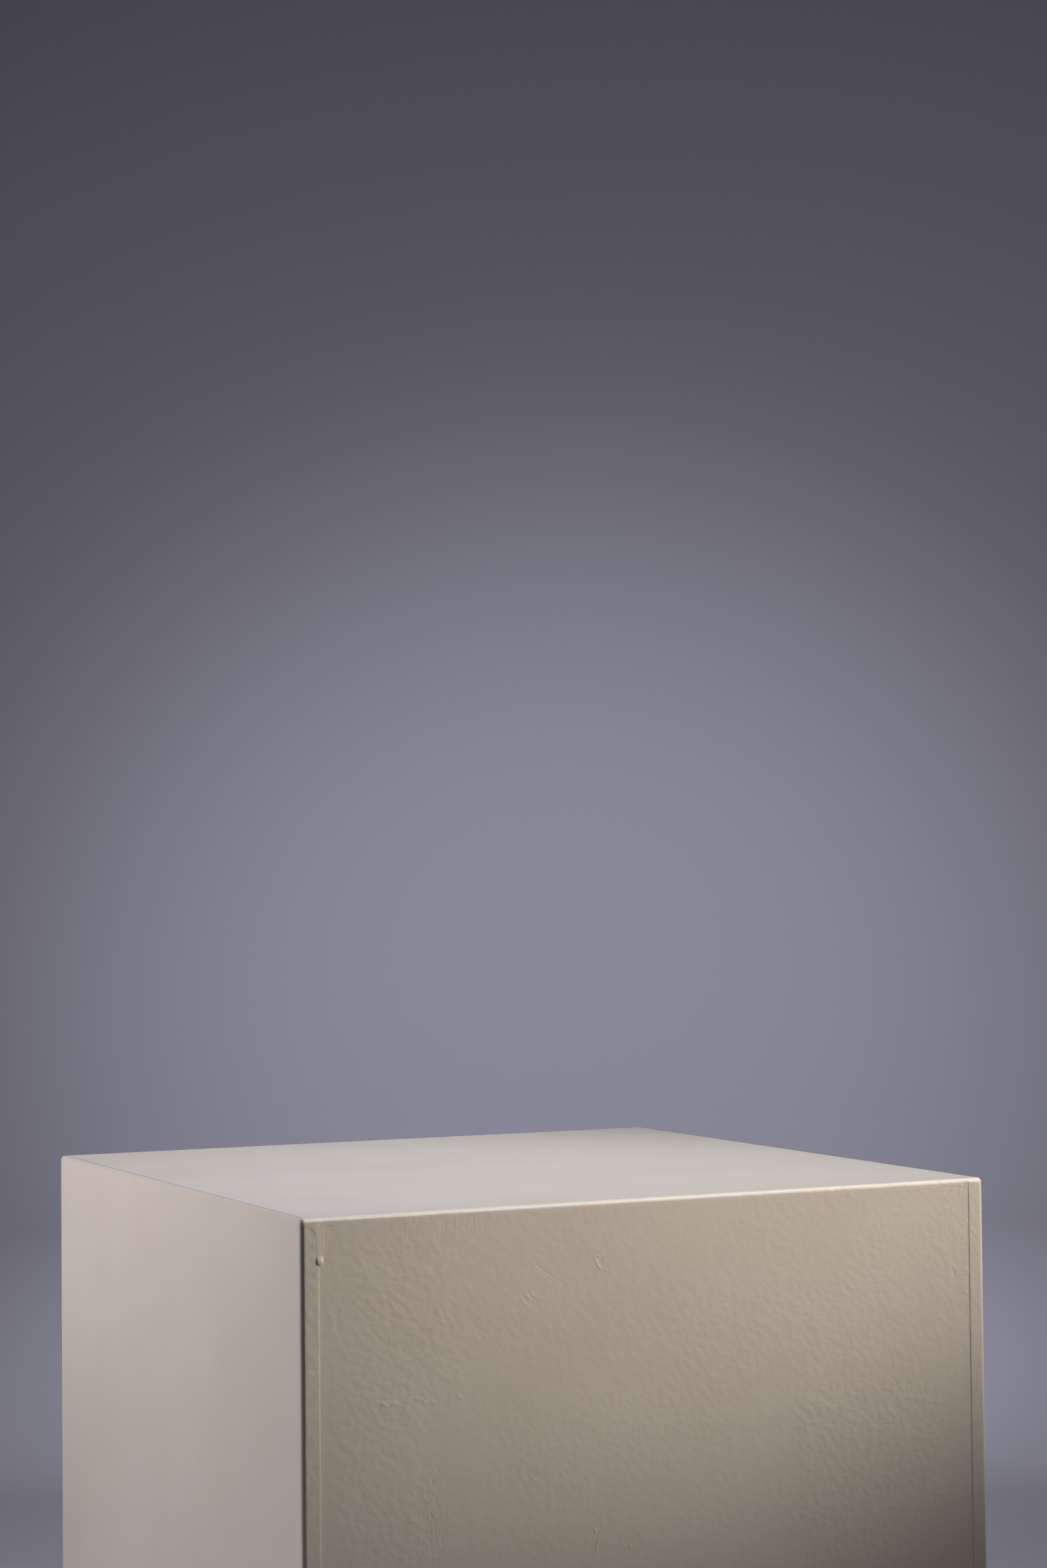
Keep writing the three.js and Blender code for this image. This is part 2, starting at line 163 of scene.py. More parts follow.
LEFT_MARKS = [
    ([(144.0, 2.2), (145.6, 3.2)], 0.8, -0.22),
    ([(333.0, 0.9), (334.6, 1.6)], 0.7, -0.2),
    ([(238.0, 4.6), (254.0, 5.4), (262.0, 5.0)], 1.3, -0.04),
    ([(402.0, 61.0), (403.0, 66.0)], 0.8, 0.05),
    ([(121.0, 143.0), (126.0, 144.5)], 0.8, 0.05),
]
RIGHT_MARKS = [
    ([(88.0, 41.0), (90.5, 44.0)], 0.8, 0.1),
    ([(310.0, 96.0), (313.0, 97.0)], 0.7, -0.08),
    ([(205.0, 180.0), (209.0, 188.0), (208.0, 196.0)], 1.1, 0.05),
]
BACK_MARKS = [
    ([(140.0, 52.0), (142.0, 55.0)], 0.9, 0.12),
    ([(352.0, 130.0), (366.0, 136.0), (371.0, 149.0)], 1.2, 0.05),
    ([(233.0, 7.0), (233.5, 22.0), (233.2, 27.0)], 1.5, 0.1),
]
LID_MARKS = [
    ([(359.0, 410.0), (390.0, 372.0), (431.0, 311.0)], 0.4, -0.08),
    ([(380.0, 402.0), (409.0, 356.0), (437.0, 322.0)], 0.4, -0.07),
    ([(92.0, 120.0), (140.0, 96.0)], 0.35, -0.04),
]
DUST = 40                   # specks under the lid's paint
# Where the front's orange peel is strongest: (left, right, upper, lower, strength), mm.
PEEL_PATCHES = [
    (22, 95, 16, 122, 0.46),
    (12, 66, 125, 240, 0.78),
    (130, 310, 120, 240, 0.28),
    (340, 450, 132, 262, 1.0),
    (444, 490, 10, 120, 0.34),
    (250, 420, 60, 120, 0.3),
]
PEEL_BASE = 0.66
PEEL_ON_ENDS = 1.4
PEEL_ELSEWHERE = 0.14       # the side boards were rubbed down better
PEEL_ON_LID = 0.1
PEEL_ON_RUN = 0.15
PEEL_FADE = 18              # mm over which a patch fades at its edges

# ------------------------------ the feet, mm
STEM_RADIUS = 4.0
THREAD_PITCH = 1.25
THREAD_DEPTH = 0.68
THREAD_ROWS = 10            # mesh rows in one turn of thread
ACROSS_FLATS = 13.0
RIBS = 40                   # grip ribs round a pad
RIB_DEPTH = 0.35


# ------------------------------ general mesh helpers
def smooth(value):
    """Eases from 0 to 1 as value goes from 0 to 1."""
    t = np.clip(value, 0.0, 1.0)
    return t * t * (3 - 2 * t)


def lattice_noise(x, y, seed):
    """Smooth noise about nought with a period of one cell, always the same for one seed."""
    rng = np.random.default_rng(seed)
    size = 256
    table = rng.uniform(-1, 1, (size, size))
    x0 = np.floor(x).astype(int)
    y0 = np.floor(y).astype(int)
    tx = smooth(x - x0)
    ty = smooth(y - y0)

    def at(i, j):
        return table[(x0 + i) % size, (y0 + j) % size]

    low = at(0, 0) * (1 - tx) + at(1, 0) * tx
    high = at(0, 1) * (1 - tx) + at(1, 1) * tx
    return low * (1 - ty) + high * ty


def distance_to_line(points, x, y):
    """Distance from each (x, y) to a line through the points, or to its only point."""
    if len(points) == 1:
        return np.hypot(x - points[0][0], y - points[0][1])
    nearest = np.full(x.shape, np.inf)
    for (ax, ay), (bx, by) in zip(points, points[1:]):
        dx = bx - ax
        dy = by - ay
        along = np.clip(((x - ax) * dx + (y - ay) * dy) / (dx * dx + dy * dy), 0, 1)
        nearest = np.minimum(nearest, np.hypot(x - ax - along * dx, y - ay - along * dy))
    return nearest


def add_object(name, mesh, materials, body, slot_name, *nodes):
    """Links a mesh as a piece that rides on a body and stands for CAD nodes."""
    mesh.name = f"shown_{name}"
    obj = bpy.data.objects.new(f"shown_{name}", mesh)
    bpy.context.scene.collection.objects.link(obj)
    for material in materials:
        mesh.materials.append(material)
    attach(obj, body)
    if nodes:
        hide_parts(*nodes)
    return obj


def mesh_from(bm, name):
    """The mesh of a finished bmesh, which is freed."""
    mesh = bpy.data.meshes.new(name)
    bm.to_mesh(mesh)
    bm.free()
    return mesh


def shade_smooth(mesh, sharp_degrees):
    """Smooth shading that breaks at edges sharper than the angle."""
    mesh.polygons.foreach_set("use_smooth", [True] * len(mesh.polygons))
    mesh.set_sharp_from_angle(angle=math.radians(sharp_degrees))


def set_peel(mesh, strength):
    """Stores how strong the paint's orange peel is at each point of a mesh."""
    layer = mesh.attributes.new("peel", "FLOAT", "POINT")
    layer.data.foreach_set("value", strength.astype(np.float32))


# ------------------------------ node helpers
class Tree:
    """A material's nodes, with a Principled shader whose plain values are set on its sockets."""

    def __init__(self, name, **values):
        self.material = bpy.data.materials.new(name)
        self.material.use_nodes = True
        self.nodes = self.material.node_tree.nodes
        self.links = self.material.node_tree.links
        self.shader = self.nodes["Principled BSDF"]
        for socket, value in values.items():
            self.shader.inputs[socket.replace("_", " ")].default_value = value

    def set(self, socket, source):
        """Links a source to one of the shader's sockets."""
        self.links.new(source, self.shader.inputs[socket])

    def add(self, kind, vector=None, **values):
        """A new node with plain values on its sockets, fed with coordinates."""
        node = self.nodes.new(f"ShaderNode{kind}")
        for socket, value in values.items():
            node.inputs[socket.replace("_", " ")].default_value = value
        if vector is not None:
            self.links.new(vector, node.inputs["Vector"])
        return node

    def place(self, size, turn=(0, 0, 0), shift=(0, 0, 0)):
        """Object coordinates in which one unit is size mm along turned axes."""
        coordinates = self.nodes.new("ShaderNodeTexCoord")
        mapping = self.add("Mapping", coordinates.outputs["Object"], Scale=[s * MM for s in size],
                           Rotation=[math.radians(a) for a in turn], Location=shift)
        mapping.vector_type = "TEXTURE"
        return mapping.outputs["Vector"]

    def noise(self, size, turn=(0, 0, 0), detail=2.0, roughness=0.5):
        """Noise with cells of this size in mm."""
        node = self.add("TexNoise", self.place(size, turn), Scale=1.0, Detail=detail,
                        Roughness=roughness)
        return node.outputs["Fac"]

    def wave(self, vector, kind, axis, distortion, detail, detail_scale):
        """Rings round an axis or bands across it, as kind says."""
        node = self.add("TexWave", vector, Scale=1.0, Distortion=distortion, Detail=detail,
                        Detail_Scale=detail_scale)
        node.wave_type = kind
        setattr(node, f"{kind.lower()}_direction", axis)
        return node.outputs["Fac"]

    def attribute(self, name):
        node = self.add("Attribute")
        node.attribute_name = name
        return node.outputs["Fac"]

    def scaled(self, value, share):
        """A value times a share, both sources."""
        node = self.add("Math")
        node.operation = "MULTIPLY"
        self.links.new(value, node.inputs[0])
        self.links.new(share, node.inputs[1])
        return node.outputs[0]

    def range(self, source, low, high):
        """Maps a noise, which runs from about 0.3 to 0.7, to low..high."""
        node = self.add("MapRange", From_Min=0.3, From_Max=0.7, To_Min=low, To_Max=high)
        self.links.new(source, node.inputs["Value"])
        return node.outputs["Result"]

    def ramp(self, source, *stops):
        """A colour ramp with (place, colour) stops."""
        node = self.nodes.new("ShaderNodeValToRGB")
        elements = node.color_ramp.elements
        while len(elements) < len(stops):
            elements.new(0.5)
        for element, (place, colour) in zip(elements, stops):
            element.position = place
            element.color = (*colour, 1)
        self.links.new(source, node.inputs["Fac"])
        return node.outputs["Color"]

    def shaded(self, colour, *shades):
        """A colour multiplied by one shade after another."""
        for shade in shades:
            node = self.add("Mix")
            node.data_type = "RGBA"
            node.blend_type = "MULTIPLY"
            node.inputs[0].default_value = 1.0
            self.links.new(colour, node.inputs[6])
            self.links.new(shade, node.inputs[7])
            colour = node.outputs[2]
        return colour

    def bump(self, height, depth, normal=None):
        """Bump of a height from 0 to 1 that is depth mm deep."""
        node = self.add("Bump", Strength=1.0, Distance=depth * MM)
        self.links.new(height, node.inputs["Height"])
        if normal is not None:
            self.links.new(normal, node.inputs["Normal"])
        return node.outputs["Normal"]


# ------------------------------ materials
WHITE = (1.0, 1.0, 1.0)


def paint_material():
    """Rolled semi-gloss off-white paint: orange peel, lines of the roller, faint colour drift."""
    tree = Tree("painted_board", IOR=1.5)
    peel_share = tree.attribute("peel")
    lumps = tree.noise((5.8, 4.6, 4.6), turn=(0, 48, 0), detail=0.7)
    weave = tree.noise((16.0, 5.0, 2.0), detail=0.5)
    rolled = tree.bump(tree.scaled(lumps, peel_share), 0.25)
    woven = tree.bump(tree.scaled(weave, peel_share), 0.05, rolled)
    tree.set("Normal", woven)
    drift = tree.noise((170, 130, 110), detail=3.0)
    tree.set("Base Color", tree.ramp(
        drift, (0.34, (0.592, 0.552, 0.484)), (0.66, (0.622, 0.584, 0.52))
    ))
    gloss = tree.noise((35, 35, 20), detail=3.0)
    tree.set("Roughness", tree.range(gloss, 0.285, 0.33))
    return tree.material


def raw_board_material():
    """Unpainted fibreboard: brown felted fibres with darker and lighter specks."""
    tree = Tree("raw_fibreboard", Roughness=0.85, IOR=1.45)
    felt = tree.noise((2.4, 2.4, 0.8), detail=6.0, roughness=0.7)
    speck = tree.noise((0.7,) * 3)
    cloud = tree.noise((60,) * 3, detail=3.0)
    base = tree.ramp(felt, (0.3, (0.235, 0.15, 0.085)), (0.7, (0.395, 0.28, 0.175)))
    shade = tree.ramp(speck, (0.34, (0.72, 0.7, 0.68)), (0.52, WHITE))
    drift = tree.ramp(cloud, (0.35, (0.9, 0.89, 0.87)), (0.65, WHITE))
    tree.set("Base Color", tree.shaded(base, shade, drift))
    tree.set("Normal", tree.bump(felt, 0.12))
    return tree.material


def pine_material(axis):
    """Planed pine with its grain along one axis: growth rings, fibres and pores."""
    tree = Tree(f"pine_{axis}", IOR=1.45)

    def grain(across, along):
        """The size of a cell drawn out along the grain."""
        cell = [across] * 3
        cell["xyz".index(axis)] = along
        return cell

    waver = tree.noise(grain(8, 350))
    ring_place = tree.place(grain(14, 550), shift=(0.03, 0.05, 0.02))
    rings = tree.wave(ring_place, "RINGS", axis.upper(), 3.5, 2.0, 0.6)
    fine = tree.noise(grain(0.5, 20), detail=3.0, roughness=0.6)
    wood = tree.ramp(
        rings,
        (0.15, (0.72, 0.52, 0.3)),
        (0.62, (0.64, 0.43, 0.22)),
        (0.92, (0.47, 0.275, 0.12)),
    )
    warm = tree.ramp(waver, (0.35, (0.9, 0.87, 0.83)), (0.65, WHITE))
    pores = tree.ramp(fine, (0.32, (0.82, 0.78, 0.74)), (0.52, WHITE))
    tree.set("Base Color", tree.shaded(wood, warm, pores))
    tree.set("Roughness", tree.range(fine, 0.62, 0.5))
    tree.set("Normal", tree.bump(fine, 0.05))
    return tree.material


def plywood_material():
    """Birch plywood: thin plies with the grain turned in every second one."""
    tree = Tree("birch_plywood", IOR=1.45)
    plies = tree.wave(tree.place((200, 200, 0.9)), "BANDS", "Z", 0.25, 1.0, 0.3)
    ends = tree.noise((0.35, 0.35, 1.6), detail=3.0, roughness=0.65)
    base = tree.ramp(
        plies,
        (0.4, (0.62, 0.45, 0.265)),
        (0.56, (0.455, 0.29, 0.145)),
        (0.6, (0.17, 0.085, 0.04)),
        (0.66, (0.5, 0.325, 0.17)),
    )
    shade = tree.ramp(ends, (0.3, (0.74, 0.7, 0.66)), (0.56, WHITE))
    tree.set("Base Color", tree.shaded(base, shade))
    tree.set("Roughness", tree.range(ends, 0.78, 0.62))
    tree.set("Normal", tree.bump(ends, 0.08))
    return tree.material


def zinc_material():
    """Bright zinc plating: bluish steel with drifts of colour, smears and fine scratches."""
    tree = Tree("zinc_steel", Metallic=1.0)
    drift = tree.noise((7,) * 3, detail=3.0)
    smear = tree.noise((2, 2, 9), turn=(20, 30, 0), detail=4.0)
    scratch = tree.noise((0.25, 3, 0.25), turn=(0, 0, 35))
    tree.set("Base Color", tree.ramp(
        drift,
        (0.34, (0.545, 0.56, 0.59)),
        (0.5, (0.61, 0.612, 0.61)),
        (0.66, (0.64, 0.615, 0.56)),
    ))
    tree.set("Roughness", tree.range(smear, 0.22, 0.42))
    tree.set("Normal", tree.bump(scratch, 0.004))
    return tree.material


def nylon_material():
    """Moulded black nylon with a fine sparkle and dust on its skin."""
    tree = Tree("black_nylon", IOR=1.53)
    grain = tree.noise((0.28,) * 3)
    dust = tree.noise((5, 5, 3), detail=5.0, roughness=0.65)
    tree.set("Base Color", tree.ramp(
        dust, (0.45, (0.014, 0.014, 0.015)), (0.75, (0.05, 0.047, 0.043))
    ))
    tree.set("Roughness", tree.range(dust, 0.36, 0.58))
    tree.set("Normal", tree.bump(grain, 0.012))
    return tree.material


def rubber_material():
    """Matt dark rubber, greyed where it meets the floor."""
    tree = Tree("sole_rubber", IOR=1.5)
    grain = tree.noise((0.5,) * 3, detail=3.0)
    dust = tree.noise((3,) * 3, detail=5.0, roughness=0.7)
    tree.set("Base Color", tree.ramp(
        dust, (0.4, (0.022, 0.021, 0.02)), (0.72, (0.085, 0.08, 0.072))
    ))
    tree.set("Roughness", tree.range(dust, 0.7, 0.92))
    tree.set("Normal", tree.bump(grain, 0.03))
    return tree.material


PAINT = paint_material()
RAW_BOARD = raw_board_material()
PINE = {axis: pine_material(axis) for axis in "xyz"}
PLYWOOD = plywood_material()
ZINC = zinc_material()
NYLON = nylon_material()
RUBBER = rubber_material()


# ------------------------------ boards
# A board is made lying behind its outer face: u runs to the right across the face, v into the
# board and z up. A plan point is (u, v, iu, iv): iu and iv say which way it moves in where the
# top edge is rounded.
def mirrored(end):
    """The plan points of the other end."""
    return [(-u, v, -iu, iv) for u, v, iu, iv in reversed(end)]


def face_columns(half, v, spacing):
    """Plan points across a flat face, without its two ends."""
    count = max(2, round(2 * half / spacing))
    return [(u, v, 0.0, 1.0) for u in np.linspace(half, -half, count + 1)[1:-1]]


def proud_plan(half, spacing):
    """Plan of a side board. Its ends show, so they have rounded corners, and paint fills the
    step where each meets its neighbour."""
    end = []
    for k in range(SEAM_STEPS + 1):
        share = k / SEAM_STEPS
        sunk = SEAM_STEP / 2 * (1 - math.sin(share * QUARTER))
        end.append((half - sunk, BOARD - SEAM_SPREAD * share, -1.0, 0.0))
    for v in np.linspace(BOARD - SEAM_SPREAD, EDGE_RADIUS, END_COLUMNS + 1)[1:-1]:
        end.append((half, v, -1.0, 0.0))
    for k in range(EDGE_STEPS + 1):
        turn = k / EDGE_STEPS * QUARTER
        reach = 1 - math.cos(turn)
        sunk = 1 - math.sin(turn)
        end.append((half - EDGE_RADIUS * reach, EDGE_RADIUS * sunk, -math.cos(turn), math.sin(turn)))
    return end + face_columns(half - EDGE_RADIUS, 0.0, spacing) + mirrored(end)


def recessed_plan(half, spacing):
    """Plan of a front or back board, which stands between the side boards."""
    end = [(half, SEAM_STEP + BOARD, 0.0, 0.0)]
    for k in range(SEAM_STEPS + 1):
        share = k / SEAM_STEPS
        depth = SEAM_STEP / 2 * (1 + math.sin(share * QUARTER))
        end.append((half - SEAM_SPREAD * share, depth, 0.0, 1.0))
    return end + face_columns(half - SEAM_SPREAD, SEAM_STEP, spacing) + mirrored(end)


def lid_plan(half, spacing):
    """Plan of the lid, seen from its edge: a plain board with barely eased corners."""
    end = [(half, BOARD, 0.0, 0.0), (half, LID_EASE, 0.0, 1.0), (half - LID_EASE, 0.0, 0.0, 1.0)]
    return end + face_columns(half - LID_EASE, 0.0, spacing) + mirrored(end)


def even_rows(low, high, spacing):
    return list(np.linspace(low, high, max(2, round((high - low) / spacing)) + 1))


def upright_rows(spacing):
    """(height, inset) of an upright board's rows, up over its rounded top edge."""
    shoulder = TOP - EDGE_RADIUS
    heights = even_rows(BOARD_BOTTOM, TOP - FINE_HEIGHT, COARSE_ROWS)[:-1]
    heights += even_rows(TOP - FINE_HEIGHT, shoulder, spacing)
    rows = [(z, 0.0) for z in heights]
    for k in range(1, EDGE_STEPS + 1):
        turn = k / EDGE_STEPS * QUARTER
        rows.append((shoulder + EDGE_RADIUS * math.sin(turn), EDGE_RADIUS * (1 - math.cos(turn))))
    rows.append((TOP, EDGE_RADIUS + CAP_RING))
    return rows


def lid_rows(half, spacing):
    rows = [(z, 0.0) for z in even_rows(LID_EASE - half, half - LID_EASE, spacing)]
    return [(-half, LID_EASE), *rows, (half, LID_EASE)]


def skin(plan, rows):
    """A closed mesh through the plan's loop at every row."""
    plan = np.array(plan)
    count = len(plan)
    points = []
    for z, inset in rows:
        moved = plan[:, :2] + inset * plan[:, 2:]
        points.append(np.column_stack([moved, np.full(count, z)]))
    faces = []
    for row in range(len(rows) - 1):
        for i in range(count):
            a = row * count + i
            b = row * count + (i + 1) % count
            faces.append((a, a + count, b + count, b))
    last = (len(rows) - 1) * count
    faces.append(tuple(range(count)))
    faces.append(tuple(reversed(range(last, last + count))))
    mesh = bpy.data.meshes.new("skin")
    mesh.from_pydata(np.concatenate(points).tolist(), [], faces)
    return mesh


def near_marks(marks, right, down, cell):
    """Which points lie near a mark that is narrow for a mesh of this cell size, all in mm."""
    near = np.zeros(right.shape, bool)
    for points, width, _ in marks:
        if cell > 0.85 * width:
            near |= distance_to_line(points, right, down) < 1.7 * width + 0.5 * cell
    return near


def refine(bm, marks, left, upper, cell, levels):
    """Halves the outer face's quads near the marks, level by level."""
    for _ in range(levels):
        bm.normal_update()
        faces = [f for f in bm.faces if f.normal.y < -FACING and len(f.verts) == 4]
        centres = np.array([f.calc_center_median() for f in faces])
        right = (centres[:, 0] - left) / MM
        down = (upper - centres[:, 2]) / MM
        chosen = near_marks(marks, right, down, cell)
        edges = {e for f, near in zip(faces, chosen) if near for e in f.edges}
        if edges:
            bmesh.ops.subdivide_edges(bm, edges=list(edges), cuts=1, use_grid_fill=True)
        cell /= 2


def marks_relief(marks, right, down):
    """Height of the marks in mm at places in mm."""
    height = np.zeros(right.shape)
    for points, width, rise in marks:
        low = np.min(points, axis=0) - 3 * width
        high = np.max(points, axis=0) + 3 * width
        near = (right > low[0]) & (right < high[0]) & (down > low[1]) & (down < high[1])
        far = distance_to_line(points, right[near], down[near])
        height[near] += rise * np.exp(-((far / width) ** 2))
    return height


def waves(right, down, seed):
    """Long slack waves of rolled paint in mm, drawn out along one diagonal."""
    across = (right + down) * math.sqrt(0.5)
    along = (right - down) * math.sqrt(0.5)
    broad = lattice_noise(across / 19, along / 13, seed)
    middle = lattice_noise(across / 11, along / 6.5, seed + 1)
    return 0.027 * broad + 0.017 * middle


def peel_strength(right, down):
    """How strong the front's orange peel is at places in mm."""
    strength = np.full(right.shape, PEEL_BASE)
    for left, end, upper, lower, gain in PEEL_PATCHES:
        for inside in (right - left, end - right, down - upper, lower - down):
            gain = gain * smooth(inside / PEEL_FADE + 0.5)
        strength += gain
    drift = lattice_noise(right / 45, down / 38, 71)
    return np.clip(strength + 0.22 * drift, 0.1, 2.0)


def finish_board(name, mesh, marks, left, upper, cell, levels, peel, turn, place, seed):
    """Refines a board near its marks, raises them, and puts the board in its place."""
    bm = bmesh.new()
    bm.from_mesh(mesh)
    bmesh.ops.remove_doubles(bm, verts=bm.verts, dist=WELD)
    refine(bm, marks, left, upper, cell / MM, levels)
    bm.normal_update()
    points = np.array([v.co for v in bm.verts])
    normals = np.array([v.normal for v in bm.verts])
    right = (points[:, 0] - left) / MM
    down = (upper - points[:, 2]) / MM
    width = -2 * left / MM
    outward = np.clip(-2 * normals[:, 1], 0, 1)
    edge = smooth(np.minimum(right, width - right) / EDGE_FADE - 0.4) * smooth(down / EDGE_FADE)
    strength = peel(right, down) if callable(peel) else np.full(right.shape, peel)
    height = marks_relief(marks, right, down) + waves(right, down, seed) * edge * strength
    points += normals * (height * outward * MM)[:, None]
    ends = (np.abs(normals[:, 0]) > FACING) | (normals[:, 2] > FACING)
    for vertex, point in zip(bm.verts, points):
        vertex.co = point
    for face in bm.faces:
        raw = face.normal.y > FACING or face.normal.z < -FACING
        face.material_index = 1 if raw else 0
    bm.to_mesh(mesh)
    bm.free()
    set_peel(mesh, np.where(ends, PEEL_ON_ENDS, strength))
    mesh.transform(Matrix.Translation(place) @ turn)
    shade_smooth(mesh, 32)
    add_object(name, mesh, [PAINT, RAW_BOARD], "root", "painted_board", name)


def fill_seams(mesh, half, proud):
    """Evens out the step at the seams near the top, where thick paint has filled it."""
    spread_end = BOARD - 1.01 * SEAM_SPREAD     # just past the last point of the spread
    for vertex in mesh.vertices:
        x, y, z = vertex.co
        rise = max(0.0, z - (TOP - EDGE_RADIUS))
        inset = EDGE_RADIUS - math.sqrt(max(0.0, EDGE_RADIUS ** 2 - rise ** 2))
        share = float(smooth((z - TOP + FILL_HEIGHT) / (FILL_FADE * FILL_HEIGHT)))
        flat_x = abs(x) + inset
        if proud and y > spread_end and flat_x > half - SEAM_STEP:
            vertex.co.x = math.copysign(abs(x) + share * (half - flat_x), x)
        elif not proud and y - inset < SEAM_STEP + FILLED_GAP:
            depth = SEAM_STEP * (1 - math.exp((abs(x) - half) / FILL_REACH))
            vertex.co.y = y + share * (depth - (y - inset))


def add_upright(name, plan_maker, half, turn_degrees, place, marks, peel, column, row, seed):
    """An upright board, with its mesh's columns and rows this far apart."""
    mesh = skin(plan_maker(half, column), upright_rows(row))
    fill_seams(mesh, half, plan_maker is proud_plan)
    turn = Matrix.Rotation(math.radians(turn_degrees), 4, "Z")
    cell = max(column, row)
    finish_board(name, mesh, marks, -half, TOP, cell, REFINED, peel, turn, place, seed)


def front_marks():
    """The front's marks with its seeded streaks, stipple and pinheads."""
    rng = np.random.default_rng(12)
    marks = list(FRONT_MARKS)
    for _ in range(STREAKS):
        right = rng.uniform(*STREAK_PLACE)
        start = rng.uniform(1.5, 9.0)
        length = rng.uniform(3.0, 11.0) * (1.3 - abs(right - 92) / 55)
        lean = rng.normal(0.0, 0.5)
        rise = rng.choice([-1, 1, 1]) * rng.uniform(0.018, 0.05)
        points = [(right, start), (right + lean, start + max(length, 2.0))]
        marks.append((points, rng.uniform(0.6, 1.0), rise))
    left, end, upper, lower = STIPPLE_PLACE
    for _ in range(STIPPLE_SPOTS):
        down = rng.uniform(upper, lower)
        right = rng.normal((left + end) / 2, (end - left) / 3.2)
        rise = rng.choice([-1, 1]) * rng.uniform(0.035, 0.095)
        points = [(right, down), (right + rng.normal(0, 0.3), down + rng.uniform(0.6, 2.4))]
        marks.append((points, rng.uniform(0.55, 0.85), rise))
    for _ in range(PINHEADS):
        right = rng.uniform(466, 487)
        down = 4 + 120 * rng.random() ** 2
        marks.append(([(right, down)], rng.uniform(0.5, 0.9), rng.uniform(0.04, 0.12)))
    return marks


def lid_marks():
    """The lid's marks with its seeded specks of dust."""
    rng = np.random.default_rng(5)
    specks = rng.uniform(20, 455, (DUST, 2))
    return LID_MARKS + [([tuple(spot)], rng.uniform(0.4, 0.65), 0.16) for spot in specks]


def add_boards():
    """The four upright boards and the lid."""
    half_front = INNER_X - FILLED_GAP
    shift = (HALF_WIDTH - half_front) / MM
    marks = [([(x - shift, y) for x, y in line], w, h) for line, w, h in front_marks()]
    add_upright("side_panel_left", proud_plan, HALF_DEPTH, -90, (-HALF_WIDTH, 0, 0),
                LEFT_MARKS, PEEL_ELSEWHERE, column=3.4 * MM, row=2.6 * MM, seed=21)
    add_upright("side_panel_right", proud_plan, HALF_DEPTH, 90, (HALF_WIDTH, 0, 0),
                RIGHT_MARKS, PEEL_ELSEWHERE, column=3.4 * MM, row=3.0 * MM, seed=31)
    add_upright("front_panel", recessed_plan, half_front, 0, (0, -HALF_DEPTH, 0),
                marks, peel_strength, column=2.7 * MM, row=2.1 * MM, seed=11)
    add_upright("back_panel", recessed_plan, half_front, 180, (0, HALF_DEPTH, 0),
                BACK_MARKS, PEEL_BASE, column=3.4 * MM, row=3.0 * MM, seed=41)
    half_lid = -FRONT_LOW.y - BOARD - FILLED_GAP
    mesh = skin(lid_plan(half_front, LID_CELL), lid_rows(half_lid, LID_CELL))
    flat = Matrix.Rotation(-QUARTER, 4, "X")
    finish_board("top_panel", mesh, lid_marks(), -half_front, half_lid, LID_CELL, LID_REFINED,
                 PEEL_ON_LID, flat, (0, 0, TOP), seed=51)


# ------------------------------ run of paint
RUN_CELL = 0.22             # mm, mesh of the run
RUN_SIZE = (31.5, 34.0)     # mm, room that the run and its collar take
RUN_ROOT = 0.22             # mm, how deep the piece goes into the boards
RUN_SPREAD = 4.5            # mm over which the run evens out the step at the seam
COLLAR_HEIGHT = 0.16        # mm over the boards
TONGUE_HEIGHT = 0.17
TONGUE_MIDDLE = 12.8        # mm to the right of the corner
TONGUE_HALF = (2.95, 0.35)  # mm, half its width and how much it narrows
BEAD_GAIN = 5.4             # how much higher the bead at its end is
BEAD_START = 22.6           # mm down
BEAD_MIDDLE = 26.6
BEAD_HALF = 2.9
LAYERS_BLEND = 0.045        # mm over which the collar and the tongue run together
COLLAR_EDGE = (             # mm, (right, down) along the collar's lower edge
    (1.0, 3.6), (2.2, 5.3), (5.2, 5.8), (7.4, 6.9), (9.0, 8.6), (10.0, 11.0), (14.7, 10.0),
    (15.6, 6.2), (17.5, 5.0), (22.1, 6.0), (25.5, 5.4), (28.0, 4.4), (31.5, 2.0),
)


def domed(share):
    """Height of a drop of paint from 1 in its middle to 0 at its edge, and below outside."""
    return np.where(share < 1, np.clip(1 - share * share, 0, 1) ** 0.6, (1 - share) * 0.6)


def run_height(right, down):
    """Height in mm of the run of paint over the boards, below nought outside it."""
    edge_right, edge_down = zip(*COLLAR_EDGE)
    inside = np.interp(right, edge_right, edge_down) - down
    collar = COLLAR_HEIGHT * np.where(inside > 0, smooth(inside / 1.1) ** 0.6, inside / 0.9)
    middle = TONGUE_MIDDLE + 0.15 * np.sin(down / 6.0)
    half_wide = TONGUE_HALF[0] - TONGUE_HALF[1] * smooth((down - 14) / 9)
    past_bead = np.clip(down - BEAD_MIDDLE, 0, None) / BEAD_HALF
    swell = 1 + BEAD_GAIN * smooth((down - BEAD_START) / 4.6)
    tongue = TONGUE_HEIGHT * swell * domed(np.hypot((right - middle) / half_wide, past_bead))
    layers = [np.exp(np.clip(part, -0.6, 2) / LAYERS_BLEND) for part in (collar, tongue)]
    return LAYERS_BLEND * np.log(sum(layers))


